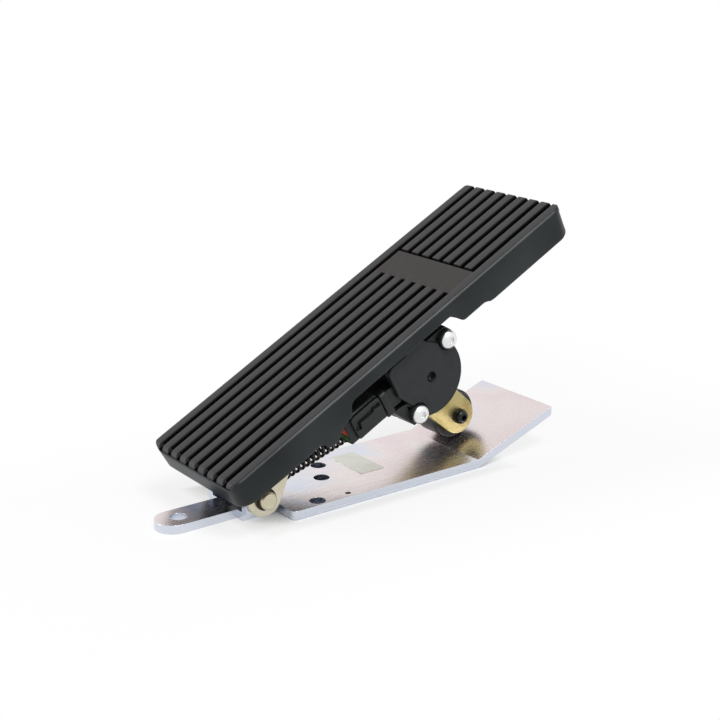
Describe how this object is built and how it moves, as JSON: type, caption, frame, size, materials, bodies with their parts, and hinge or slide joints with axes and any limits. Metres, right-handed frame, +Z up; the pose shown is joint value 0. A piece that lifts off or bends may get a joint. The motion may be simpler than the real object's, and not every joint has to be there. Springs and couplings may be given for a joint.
{
  "type": "accelerator pedal",
  "caption": "Floor-mounted accelerator pedal with a ribbed treadle, heel hinge, sprung roller lever and rotary position sensor on a steel base plate.",
  "frame": {"origin": "centre of the heel tongue's bolt hole, on the base plate's underside", "axes": "+X across the pedal towards the sensor, +Y from heel to toe along the base plate, +Z up from the floor"},
  "size_m": [0.0832, 0.2431, 0.1448],
  "materials": {
    "zinc_plate": "clear zinc plate",
    "zinc_pin": "clear zinc plate with a warm tint",
    "yellow_zinc": "yellow zinc plate",
    "label": "matte film",
    "black_casting": "satin black paint",
    "rubber": "matte",
    "steel": "bright zinc plate",
    "dark_steel": "phosphated",
    "black_steel": "black oxide",
    "bronze": "sintered",
    "black_plastic": "moulded, satin",
    "roller_plastic": "moulded, satin",
    "green_seal": "matte",
    "orange_lock": "moulded, satin"
  },
  "bodies": {
    "base": {"base_plate": "zinc_plate", "plate_label": "label", "hinge_pin": "zinc_pin", "hinge_clips": "dark_steel"},
    "treadle": {"treadle_body": "black_casting", "tread_pad": "rubber", "hinge_bracket": "zinc_pin", "bracket_rivets": "steel", "hinge_bushes": "bronze", "pivot_housing": "black_casting", "housing_screws": "steel", "shaft_bushes": "bronze", "near_spring": "black_steel", "far_spring": "black_steel", "sensor_housing": "black_plastic", "sensor_cover": "black_plastic", "sensor_screws": "steel", "connector_plug": "black_plastic", "connector_latch": "black_plastic", "connector_seal": "green_seal", "connector_lock": "orange_lock"},
    "lever": {"near_lever_arm": "yellow_zinc", "far_lever_arm": "yellow_zinc", "lever_hub": "yellow_zinc", "lever_shaft": "steel", "shaft_spacer": "steel", "spring_pin": "steel", "roller_bolt": "black_steel", "roller_nut": "steel"},
    "roller": {"roller": "roller_plastic", "roller_bush": "bronze"}
  },
  "joints": [
    {"name": "treadle_hinge", "type": "hinge", "parent": "base", "child": "treadle", "pos_m": [0, 0.0378, 0.0125], "axis": [1, 0, 0], "range_deg": [-12, 0], "stiffness_Nm_per_rad": 12, "springref_deg": 20.05, "deforming": ["near_spring", "far_spring"]},
    {"name": "lever_pivot", "type": "hinge", "parent": "treadle", "child": "lever", "pos_m": [0, 0.1341, 0.06272], "axis": [1, 0, 0], "range_deg": [0, 47]},
    {"name": "roller_spin", "type": "hinge", "parent": "lever", "child": "roller", "pos_m": [0, 0.17945, 0.02283], "axis": [1, 0, 0], "range_deg": [-134, 0]}
  ],
  "couplings": [
    {"joint": "lever_pivot", "follows": "treadle_hinge", "ratio": -3.9},
    {"joint": "roller_spin", "follows": "treadle_hinge", "ratio": 11.1}
  ]
}
